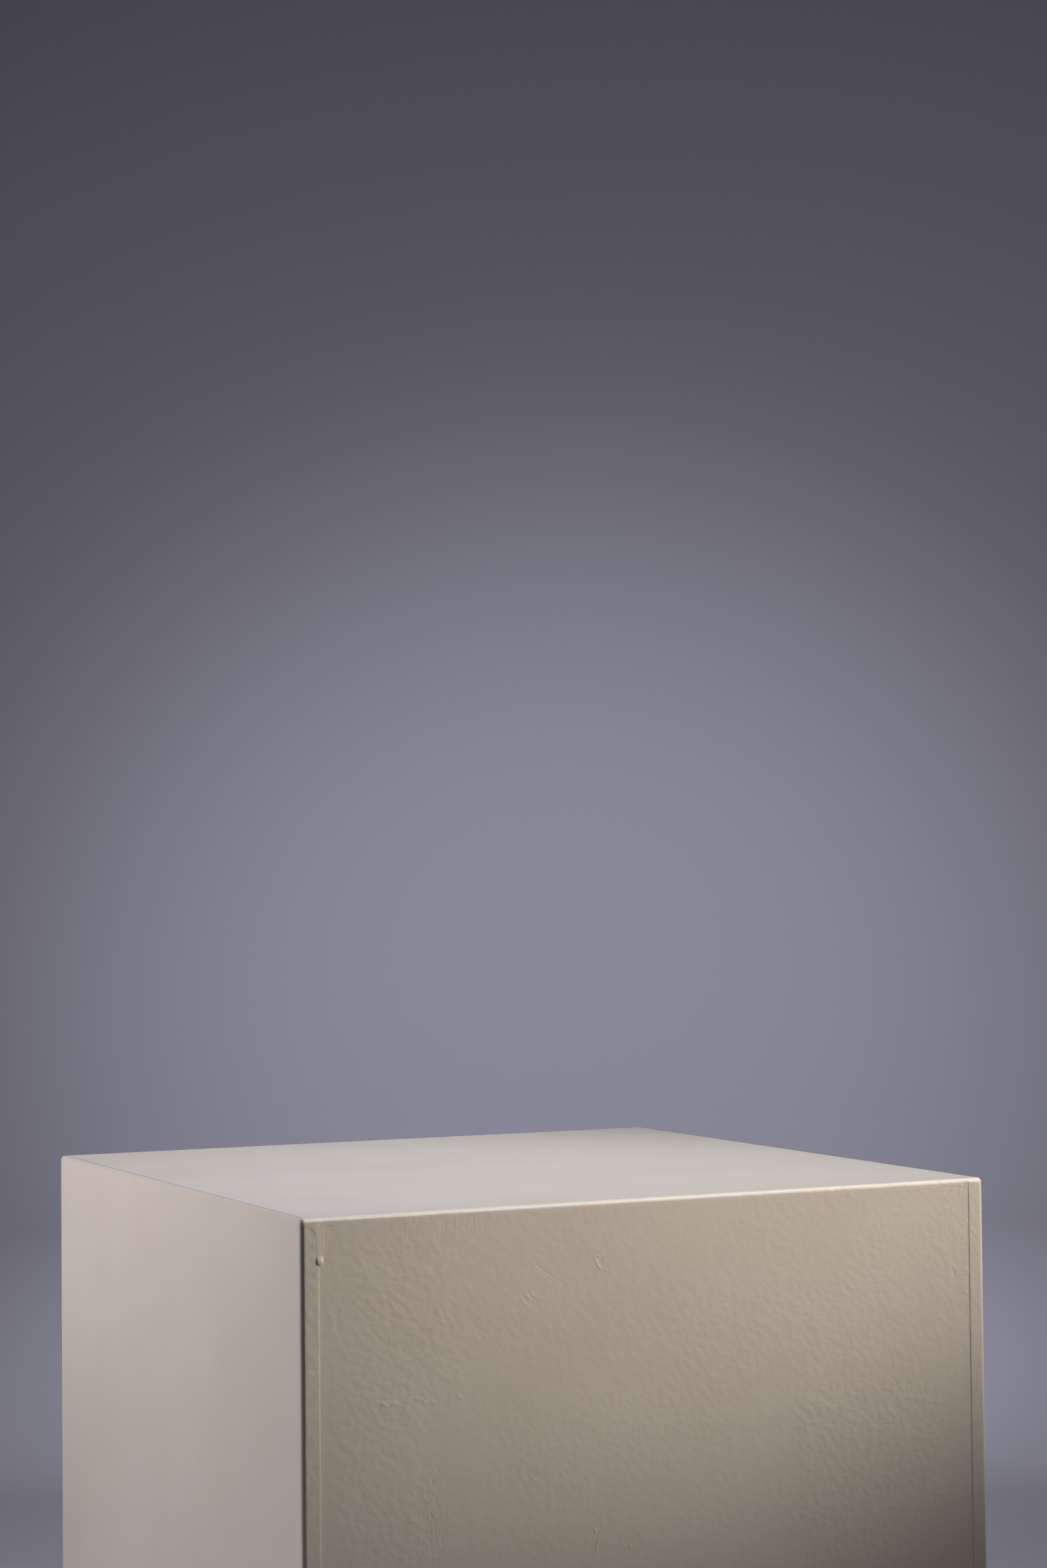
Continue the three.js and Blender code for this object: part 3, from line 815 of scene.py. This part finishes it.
def add_run():
    """A run of thick paint that hangs from a collar at the top edge, over the left seam."""
    columns = np.arange(1.0, RUN_SIZE[0], RUN_CELL)
    steps = np.arange(0.0, RUN_SIZE[1], RUN_CELL)
    along, right = np.meshgrid(steps, columns, indexing="ij")
    radius = EDGE_RADIUS / MM
    quarter_arc = radius * QUARTER
    turn = np.clip(along / radius, 0, QUARTER)
    face_down = np.clip(along - quarter_arc, 0, None)
    down = radius * (1 - np.cos(turn)) + face_down
    height = run_height(right, down) * smooth(along / 2.2) - 0.05 * (1 - smooth(along / 0.8))
    seam = (HALF_WIDTH - INNER_X) / MM
    corner_gap = np.clip(radius - right, 0, radius)
    behind = radius - np.sqrt(radius * radius - corner_gap * corner_gap)
    normal = np.stack([np.zeros_like(turn), -np.sin(turn), np.cos(turn)], axis=-1)

    def boards_surface(step_width):
        """Points on the boards, with the step at the seam spread over a width."""
        step = SEAM_STEP / MM * smooth((right - seam) / step_width + 0.5)
        return np.stack([
            right * MM - HALF_WIDTH,
            (behind + step + radius * (1 - np.sin(turn))) * MM - HALF_DEPTH,
            TOP - down * MM,
        ], axis=-1)

    outer = boards_surface(RUN_SPREAD) + normal * (height * MM)[..., None]
    inner = boards_surface(2 * SEAM_SPREAD / MM) - normal * RUN_ROOT * MM
    cells = (height[:-1, :-1], height[1:, :-1], height[:-1, 1:], height[1:, 1:])
    kept = (np.maximum.reduce(cells) > -0.04) & (np.minimum.reduce(cells) > 0.02 - RUN_ROOT)
    bm = bmesh.new()
    rows, count = height.shape
    made = {}

    def vertex(side, i, j):
        key = (side, i, j)
        if key not in made:
            made[key] = bm.verts.new((outer if side else inner)[i, j])
        return made[key]

    for i, j in zip(*np.nonzero(kept)):
        ring = [(i, j), (i + 1, j), (i + 1, j + 1), (i, j + 1)]
        bm.faces.new([vertex(1, a, b) for a, b in ring])
        bm.faces.new([vertex(0, a, b) for a, b in reversed(ring)])
        beside = ((i, j - 1), (i + 1, j), (i, j + 1), (i - 1, j))
        for (a, b), (c, d), (ni, nj) in zip(ring, ring[1:] + ring[:1], beside):
            shared = 0 <= ni < rows - 1 and 0 <= nj < count - 1 and kept[ni, nj]
            if not shared:
                bm.faces.new([vertex(1, c, d), vertex(1, a, b), vertex(0, a, b), vertex(0, c, d)])
    bmesh.ops.recalc_face_normals(bm, faces=bm.faces)
    mesh = mesh_from(bm, "paint_run")
    set_peel(mesh, np.full(len(mesh.vertices), PEEL_ON_RUN))
    shade_smooth(mesh, 70)
    add_object("paint_run", mesh, [PAINT], "root", "painted_board")


# ------------------------------ turned metal and plastic
def eased(profile, radius, steps=3):
    """The profile with each corner drawn as a small curve of about this radius."""
    out = [profile[0]]
    for before, corner, after in zip(profile, profile[1:], profile[2:]):
        a, c, b = (np.array(p, float) for p in (before, corner, after))
        start = c + (a - c) * min(0.45, radius / max(np.linalg.norm(a - c), 1e-9))
        end = c + (b - c) * min(0.45, radius / max(np.linalg.norm(b - c), 1e-9))
        for k in range(steps + 1):
            t = k / steps
            out.append(tuple((1 - t) ** 2 * start + 2 * t * (1 - t) * c + t * t * end))
    out.append(profile[-1])
    return out


def turned(profile, segments, shape=None):
    """A closed mesh of a profile of (radius, height) in mm turned about Z. It starts and ends
    on the axis, or ends where it starts. shape(radius, height, angle) changes the radius."""
    angles = np.arange(segments) * 2 * math.pi / segments
    loop = profile[0][0] > 1e-6
    rings = profile[:-1] if loop else profile[1:-1]
    bm = bmesh.new()
    made = []
    for radius, height in rings:
        radii = np.full(segments, float(radius))
        if shape is not None:
            radii = shape(radii, height, angles)
        made.append([bm.verts.new((r * math.cos(a) * MM, r * math.sin(a) * MM, height * MM))
                     for r, a in zip(radii, angles)])
    pairs = list(zip(made, made[1:]))
    if loop:
        pairs.append((made[-1], made[0]))
    for lower, upper in pairs:
        for i in range(segments):
            j = (i + 1) % segments
            bm.faces.new([lower[i], lower[j], upper[j], upper[i]])
    if not loop:
        for (_, height), ring in ((profile[0], made[0]), (profile[-1], made[-1])):
            tip = bm.verts.new((0, 0, height * MM))
            for i in range(segments):
                bm.faces.new([tip, ring[i], ring[(i + 1) % segments]])
    bmesh.ops.recalc_face_normals(bm, faces=bm.faces)
    return mesh_from(bm, "turned")


def hexagon_cut(radii, angles, across):
    """Cuts radii back to a hexagon's flats."""
    sixth = math.pi / 3
    from_flat = np.mod(angles + sixth / 2, sixth) - sixth / 2
    return np.minimum(radii, across / 2 / np.cos(from_flat))


def thread_cut(height, angles, pitch, depth):
    """How far a right-handed thread cuts in at a height, round the angles."""
    phase = np.mod(height / pitch - angles / (2 * math.pi), 1.0)
    return depth * np.clip(np.abs(2 * phase - 1) * 1.25 - 0.12, 0, 1)


def pad_mesh():
    """Nylon pad: ribbed rim, sloping shoulder and a boss with the stem's socket inside."""
    profile = eased([
        (0.0, 2.8), (17.3, 2.8), (17.3, 1.0), (19.3, 1.0), (20.0, 1.7), (20.0, 4.3),
        (18.6, 6.5), (17.6, 6.7), (10.9, 8.4), (10.0, 9.3), (10.0, 13.1), (9.3, 13.8),
        (5.2, 13.8), (4.3, 13.1), (4.3, 9.3), (6.6, 9.3), (6.6, 5.5), (0.0, 5.5),
    ], 0.35)

    def ribbed(radii, height, angles):
        rim = float(smooth((height - 1.2) / 0.6) * smooth((4.7 - height) / 0.7))
        if radii[0] < 19.0:
            return radii
        groove = np.clip(np.cos(angles * RIBS) * 1.6, 0, 1)
        return radii - RIB_DEPTH * rim * groove

    return turned(profile, RIBS * 8, ribbed)


def sole_mesh():
    """Rubber sole with rings of tread underneath."""
    tread = [(0.0, 0.35)]
    for ring in (4.0, 7.5, 11.0, 14.5):
        tread += [(ring - 1.1, 0.35), (ring - 0.8, 0.0), (ring + 0.8, 0.0), (ring + 1.1, 0.35)]
    rim = [(16.6, 0.35), (17.0, 0.8), (17.0, 2.1), (16.6, 2.5), (0.0, 2.5)]
    return turned(eased(tread + rim, 0.15, 2), 96)


def stem_mesh(top):
    """Levelling stem: a flange held in the pad, a hexagon for the spanner and an M8 thread."""
    corner = ACROSS_FLATS / math.sqrt(3)
    collar = [
        (4.0, 14.1), (6.2, 14.1), (6.7, 14.25), (7.1, 14.55), (corner, 14.95),
        (corner, 17.1), (corner, 19.25), (7.1, 19.65), (6.7, 19.95), (6.2, 20.1), (4.6, 20.1),
    ]
    start = 21.0
    end = top - 1.2
    rows = int((end - start) / THREAD_PITCH * THREAD_ROWS)
    threaded = [(STEM_RADIUS, start + (end - start) * k / rows) for k in range(rows + 1)]
    profile = [(0.0, 5.8), (5.9, 5.8), (6.3, 6.2), (6.3, 8.6), (5.9, 9.0), (4.0, 9.0), (4.0, 12.0)]
    profile += collar + [(4.0, 20.4)] + threaded + [(3.0, top - 0.1), (2.9, top), (0.0, top)]

    def cut(radii, height, angles):
        if radii[0] > 6.35:
            return hexagon_cut(radii, angles, ACROSS_FLATS)
        if radii[0] == STEM_RADIUS and height > 20.4:
            run_in = smooth((height - start) / 2.0)
            return radii - thread_cut(height, angles, THREAD_PITCH, THREAD_DEPTH) * run_in
        return radii

    return turned(profile, 48, cut)


def nut_mesh(bottom, top):
    """Hexagon nut with chamfered corners and a countersunk bore."""
    corner = ACROSS_FLATS / math.sqrt(3)
    half = [(4.12, 0.6), (4.7, 0.0), (6.1, 0.0), (6.5, 0.1), (7.0, 0.35), (corner, 0.75)]
    profile = [(radius, bottom + z) for radius, z in half] + [(corner, (bottom + top) / 2)]
    profile += [(radius, top - z) for radius, z in reversed(half)] + [(4.12, bottom + 0.6)]

    def cut(radii, height, angles):
        return hexagon_cut(radii, angles, ACROSS_FLATS) if radii[0] > 6.0 else radii

    return turned(profile, 48, cut)


def tee_nut_mesh(bottom, top):
    """Pressed tee nut: a rolled flange with a barrel. Its teeth are bent up out of the flange."""
    flange = bottom + 1.6
    body = turned(eased([
        (4.3, bottom + 0.8), (5.1, bottom), (10.6, bottom), (11.0, bottom + 0.4),
        (11.0, flange - 0.3), (10.7, flange), (5.9, flange), (5.0, flange + 0.9),
        (5.0, top - 0.3), (4.8, top), (4.5, top), (4.3, top - 0.2), (4.3, bottom + 0.8),
    ], 0.15, 2), 72)
    bm = bmesh.new()
    bm.from_mesh(body)
    root, middle, tip = flange - 0.5, flange + 3, flange + 6
    tooth = [(7.9, -2.0, root), (9.1, -2.0, root), (9.1, 2.0, root), (7.9, 2.0, root),
             (8.2, -1.7, middle), (8.9, -1.7, middle), (8.9, 1.7, middle), (8.2, 1.7, middle),
             (8.4, 0.0, tip), (8.8, 0.0, tip)]
    faces = ((3, 2, 1, 0), (0, 1, 5, 4), (1, 2, 6, 5), (2, 3, 7, 6), (3, 0, 4, 7),
             (4, 5, 9, 8), (5, 6, 9), (6, 7, 8, 9), (7, 4, 8))
    for k in range(4):
        turn = Matrix.Rotation(k * QUARTER, 3, "Z")
        corners = [bm.verts.new(turn @ (Vector(point) * MM)) for point in tooth]
        for face in faces:
            bm.faces.new([corners[i] for i in face])
    bmesh.ops.recalc_face_normals(bm, faces=bm.faces)
    bm.to_mesh(body)
    bm.free()
    return body


def screw_mesh(length):
    """Wood screw along Z, head up, with its top at nought: star recess, shank and thread."""
    tip = -length
    threaded = -24.0
    pitch = 2.6
    rows = int((threaded - tip) / pitch * 8)
    profile = [(0.0, tip)]
    for k in range(1, rows + 1):
        z = tip + (threaded - tip) * k / rows
        profile.append((0.35 + 2.15 * float(smooth((z - tip) / 9) ** 0.7), z))
    profile += [(1.9, threaded + 0.5), (1.9, -3.4), (2.4, -2.9), (4.5, -0.5), (4.8, -0.35)]
    profile += [(4.75, -0.1), (4.4, 0.0), (2.4, 0.0), (2.3, -0.1), (2.1, -1.9), (0.0, -2.2)]

    def cut(radii, height, angles):
        if height < threaded and radii[0] > 0:
            depth = 0.85 * float(smooth((height - tip) / 9))
            return radii - thread_cut(height, angles, pitch, depth)
        if height > -2.0 and radii[0] < 2.45:
            return radii * (0.86 + 0.14 * np.cos(6 * angles))
        return radii

    return turned(profile, 36, cut)


def add_turned(name, mesh, material, body, slot_name, place, turn=Matrix()):
    """Puts a turned piece where its CAD node is."""
    mesh.transform(Matrix.Translation(place) @ turn)
    shade_smooth(mesh, 38)
    add_object(name, mesh, [material], body, slot_name, name)


def add_feet():
    """Pads, soles, stems and nuts of the four levelling feet."""
    for corner in CORNERS:
        pad_low, pad_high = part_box(f"foot_pad_{corner}")
        place = Vector(((pad_low.x + pad_high.x) / 2, (pad_low.y + pad_high.y) / 2, 0))
        stem_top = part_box(f"foot_stem_{corner}")[1].z / MM
        lock_nut = nut_mesh(*(c.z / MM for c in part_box(f"lock_nut_{corner}")))
        tee_nut = tee_nut_mesh(*(c.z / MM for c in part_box(f"tee_nut_{corner}")))
        pieces = (
            ("foot_pad", pad_mesh(), NYLON, f"pad_{corner}", "nylon"),
            ("foot_sole", sole_mesh(), RUBBER, f"pad_{corner}", "rubber"),
            ("foot_stem", stem_mesh(stem_top), ZINC, f"stem_{corner}", "zinc_steel"),
            ("lock_nut", lock_nut, ZINC, "root", "zinc_steel"),
            ("tee_nut", tee_nut, ZINC, "root", "zinc_steel"),
        )
        for kind, mesh, material, body, slot_name in pieces:
            add_turned(f"{kind}_{corner}", mesh, material, body, slot_name, place)


def add_screws():
    """Screws through the base rails into the foot blocks, heads outwards."""
    for corner in CORNERS:
        for axis, turn_axis, turn_sign in (("x", "Y", 1), ("y", "X", -1)):
            name = f"block_screw_{corner}_{axis}"
            low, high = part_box(name)
            head = (low + high) / 2
            i = "xy".index(axis)
            outward = math.copysign(1, head[i])
            head[i] = high[i] if outward > 0 else low[i]
            turn = Matrix.Rotation(turn_sign * outward * QUARTER, 4, turn_axis)
            mesh = screw_mesh((high[i] - low[i]) / MM)
            add_turned(name, mesh, ZINC, "root", "zinc_steel", head, turn)


def finish_timber():
    """Gives the CAD frame's posts, rails and blocks their wood."""
    for name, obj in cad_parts.items():
        if name.startswith("corner_post"):
            wood = PINE["z"]
        elif "rail_front" in name or "rail_back" in name:
            wood = PINE["x"]
        elif "rail_left" in name or "rail_right" in name or name == "top_brace":
            low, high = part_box(name)
            wood = PINE["y"] if high.y - low.y > high.x - low.x else PINE["x"]
        elif name.startswith("foot_block"):
            wood = PLYWOOD
        else:
            continue
        obj.data.materials.clear()
        obj.data.materials.append(wood)


# ------------------------------ studio
FLOOR_RADIUS = 3.9
WALL_RADIUS = 4.6
WALL_HEIGHT = 4.2
FLOOR_COLOUR = (0.57, 0.565, 0.6)
WALL_COLOUR = (0.28, 0.275, 0.29)


def add_studio():
    """A pale floor that curves up into a round wall, all in one plain material."""
    tree = Tree("studio_paper", Roughness=0.9, IOR=1.3)
    rise = tree.add("SeparateXYZ", tree.place((1 / MM,) * 3))
    tree.set("Base Color", tree.ramp(rise.outputs["Z"], (0.02, FLOOR_COLOUR), (0.45, WALL_COLOUR)))
    cove = WALL_RADIUS - FLOOR_RADIUS
    profile = [(FLOOR_RADIUS * k / 8, 0.0) for k in range(1, 9)]
    for k in range(1, 13):
        turn = k / 12 * QUARTER
        profile.append((FLOOR_RADIUS + cove * math.sin(turn), cove * (1 - math.cos(turn))))
    profile += [(WALL_RADIUS, cove + (WALL_HEIGHT - cove) * k / 6) for k in range(1, 7)]
    segments = 96
    bm = bmesh.new()
    rings = []
    for radius, height in profile:
        turns = [2 * math.pi * i / segments for i in range(segments)]
        ring = [(radius * math.cos(a), radius * math.sin(a), height) for a in turns]
        rings.append([bm.verts.new(point) for point in ring])
    middle = bm.verts.new((0, 0, 0))
    for i in range(segments):
        bm.faces.new([middle, rings[0][i], rings[0][(i + 1) % segments]])
    for inner, outer in zip(rings, rings[1:]):
        for i in range(segments):
            j = (i + 1) % segments
            bm.faces.new([inner[i], outer[i], outer[j], inner[j]])
    mesh = mesh_from(bm, "studio_floor")
    shade_smooth(mesh, 60)
    floor = bpy.data.objects.new("studio_floor", mesh)
    mesh.materials.append(tree.material)
    bpy.context.scene.collection.objects.link(floor)


def aimed(obj, place, target):
    """Puts an object in a place, looking at a target."""
    obj.location = place
    obj.rotation_mode = "QUATERNION"
    obj.rotation_quaternion = (Vector(target) - Vector(place)).to_track_quat("-Z", "Y")


def add_light(kind, name, place, target, watts, colour, lights=True, shines=True, **settings):
    """A light that the camera doesn't see, aimed at a target. It can be kept from lighting
    surfaces or from leaving highlights on them."""
    light = bpy.data.lights.new(name, kind)
    light.energy = watts
    light.color = colour
    for setting, value in settings.items():
        setattr(light, setting, value)
    obj = bpy.data.objects.new(name, light)
    bpy.context.scene.collection.objects.link(obj)
    aimed(obj, place, target)
    obj.visible_camera = False
    obj.visible_glossy = shines
    obj.visible_diffuse = lights


def add_spot(name, place, target, watts, colour, degrees, radius=0.3, blend=1.0, shines=True):
    """A soft-edged cone of light, this many degrees wide."""
    add_light("SPOT", name, place, target, watts, colour, shines=shines,
              spot_size=math.radians(degrees), spot_blend=blend, shadow_soft_size=radius)


def add_lights():
    """Warm key from the right, fills on the left, right and low front, light from above and on
    the wall."""
    add_spot("key", (2.65, -1.962, 2.349), (0.25, -0.238, 1.22), 642, (1.0, 0.897, 0.8),
             15.7, radius=0.08, blend=0.91)
    pinkish = (1.0, 0.926, 0.953)
    add_spot("left_fill", (-2.3, 1.9, 1.3), (-0.25, 0.1, 1.2), 475, pinkish,
             22, radius=0.4, shines=False)
    add_light("AREA", "left_wide", (-2.2, 2.3, 1.3), (-0.25, 0.0, 0.9), 40, pinkish,
              shines=False, shape="DISK", size=1.8)
    add_spot("above", (0.85, 0.15, 3.1), (-0.2, -0.12, 1.0), 112, (0.7, 0.8, 1.0),
             32, shines=False)
    add_light("AREA", "room", (0.4, 0.3, 3.6), (0.1, 0.1, 0.0), 28, (0.92, 0.95, 1.0),
              shines=False, shape="DISK", size=1.4)
    add_light("AREA", "edge_shine", (1.1, -1.2, 3.0), (0.0, -0.25, 1.0), 72, (0.93, 0.96, 1.0),
              lights=False, shape="RECTANGLE", size=4.4, size_y=1.0)
    add_spot("right_fill", (3.0, 0.9, 0.92), (0.25, 0.0, 0.4), 110, (0.95, 0.94, 1.0),
             46, radius=0.4, shines=False)
    add_spot("front_low", (0.3, -3.2, 0.25), (0.0, -0.25, 0.12), 63, (1.0, 0.93, 0.86),
             26, shines=False)
    wall_colour = (0.8, 0.81, 1.0)
    add_spot("wall_pool", (0.4, 1.0, 1.5), (2.1, 4.1, 0.85), 247, wall_colour, 50)
    add_spot("wall_low", (0.4, 1.0, 1.2), (2.05, 4.1, 0.1), 96, wall_colour, 90)
    add_spot("wall_wide", (0.6, 1.3, 2.0), (1.9, 4.0, 2.1), 90, wall_colour, 110)
    world = bpy.data.worlds.new("studio_air")
    world.use_nodes = True
    background = world.node_tree.nodes["Background"]
    background.inputs["Color"].default_value = (1.0, 0.9, 0.8, 1)
    background.inputs["Strength"].default_value = 0.024
    bpy.context.scene.world = world


# ------------------------------ camera
CAMERA_PLACE = (-0.92671, -1.98022, 1.20556)
CAMERA_YAW = 25.655         # degrees from +Y towards +X
CAMERA_PITCH = 1.845        # degrees up
CAMERA_ROLL = -0.545        # degrees
CAMERA_LENS = 69.19         # mm on a sensor 36 mm on its long side


def add_camera():
    """The camera, a little above the plinth's top and pitched slightly up."""
    yaw = math.radians(CAMERA_YAW)
    pitch = math.radians(CAMERA_PITCH)
    roll = math.radians(CAMERA_ROLL)
    level = Vector((math.cos(yaw), -math.sin(yaw), 0))
    ahead = Vector((math.sin(yaw), math.cos(yaw), 0))
    forward = ahead * math.cos(pitch) + Vector((0, 0, math.sin(pitch)))
    upward = level.cross(forward)
    right = level * math.cos(roll) + upward * math.sin(roll)
    up = upward * math.cos(roll) - level * math.sin(roll)
    data = bpy.data.cameras.new("camera")
    data.lens = CAMERA_LENS
    data.sensor_width = 36.0
    data.clip_start = 0.05
    data.clip_end = 40.0
    camera = bpy.data.objects.new("camera", data)
    turn = Matrix((right, up, -forward)).transposed().to_4x4()
    camera.matrix_world = Matrix.Translation(CAMERA_PLACE) @ turn
    bpy.context.scene.collection.objects.link(camera)
    bpy.context.scene.camera = camera


# ------------------------------ the whole scene
add_camera()
add_boards()
add_run()
add_feet()
add_screws()
finish_timber()
add_studio()
add_lights()
bpy.context.scene.view_settings.view_transform = "Standard"
